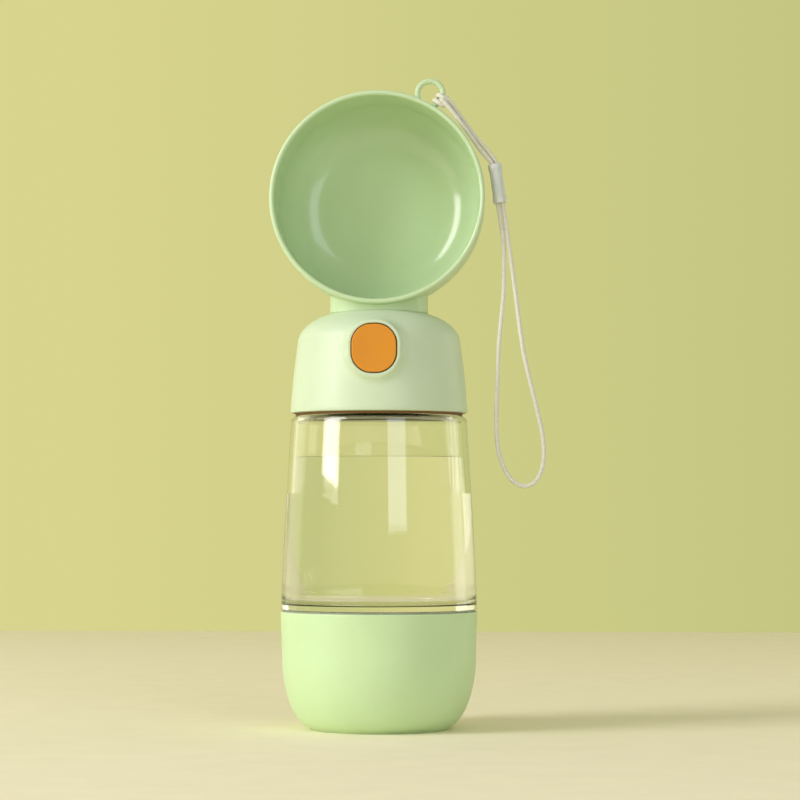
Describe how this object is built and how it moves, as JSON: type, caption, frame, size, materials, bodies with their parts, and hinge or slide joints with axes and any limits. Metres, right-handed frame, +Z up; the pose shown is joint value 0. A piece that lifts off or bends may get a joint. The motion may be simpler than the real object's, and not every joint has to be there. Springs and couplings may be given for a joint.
{
  "type": "dog travel water bottle",
  "caption": "Clear travel water bottle with a screw-on treat cup below and a domed cap above, whose push button lets water run into a swivelling drinking bowl; wrist cord.",
  "frame": {"origin": "centre of the treat cup's flat foot, on the surface it stands on", "axes": "+Z up along the bottle's axis; -Y is the front, where the button and the bowl's mouth face; +X is the side where the wrist cord hangs"},
  "size_m": [0.1015, 0.0728, 0.24],
  "materials": {
    "cup_plastic": "fine matte moulded",
    "cap_plastic": "fine matte moulded",
    "bowl_plastic": "glossy moulded",
    "clear_plastic": "clear polished",
    "button_plastic": "satin",
    "inner_plastic": "moulded",
    "orange_silicone": "soft matte",
    "white_silicone": "soft matte",
    "spring_steel": "drawn wire",
    "cord_braid": "braided",
    "slider_plastic": "translucent"
  },
  "bodies": {
    "base": {"base_cup": "cup_plastic"},
    "base_gasket": {"base_seal": "white_silicone"},
    "bottle": {"bottle": "clear_plastic"},
    "cap_gasket": {"cap_seal": "orange_silicone"},
    "cap": {"cap_shell": "cap_plastic", "cap_core": "inner_plastic", "valve_body": "inner_plastic", "rod_oring": "white_silicone", "valve_spring": "spring_steel", "button_spring": "spring_steel"},
    "bowl": {"bowl": "bowl_plastic", "neck_oring": "white_silicone", "neck_clip": "spring_steel", "lanyard_cord": "cord_braid", "lanyard_hitch": "cord_braid", "cord_slider": "slider_plastic"},
    "button": {"button": "button_plastic", "push_rod": "spring_steel"},
    "valve": {"valve_stem": "inner_plastic", "valve_washer": "white_silicone", "valve_nut": "spring_steel"}
  },
  "joints": [
    {"name": "base_lift", "type": "slide", "parent": "base", "child": "base_gasket", "axis": [0, 0, 1], "range_m": [0, 0.0075]},
    {"name": "base_turn", "type": "hinge", "parent": "base_gasket", "child": "bottle", "pos_m": [0, 0, 0.0436], "axis": [0, 0, 1], "range_deg": [0, 450]},
    {"name": "cap_lift", "type": "slide", "parent": "bottle", "child": "cap_gasket", "axis": [0, 0, 1], "range_m": [0, 0.0075]},
    {"name": "cap_turn", "type": "hinge", "parent": "cap_gasket", "child": "cap", "pos_m": [0, 0, 0.117], "axis": [0, 0, 1], "range_deg": [0, 450]},
    {"name": "bowl_turn", "type": "hinge", "parent": "cap", "child": "bowl", "pos_m": [0, 0, 0.1547], "axis": [0, 0, 1], "range_deg": [-90, 90]},
    {"name": "button_press", "type": "slide", "parent": "cap", "child": "button", "axis": [0, 1, 0], "range_m": [0, 0.0022], "stiffness_N_per_m": 500, "springref_m": -0.003, "deforming": ["button_spring"]},
    {"name": "valve_open", "type": "slide", "parent": "cap", "child": "valve", "axis": [0, 0, -1], "range_m": [0, 0.0022], "stiffness_N_per_m": 300, "springref_m": -0.003, "deforming": ["valve_spring"]}
  ],
  "couplings": [
    {"joint": "base_lift", "follows": "base_turn", "m_per_rad": 0.00095493},
    {"joint": "cap_lift", "follows": "cap_turn", "m_per_rad": 0.00095493},
    {"joint": "valve_open", "follows": "button_press", "ratio": 1}
  ]
}
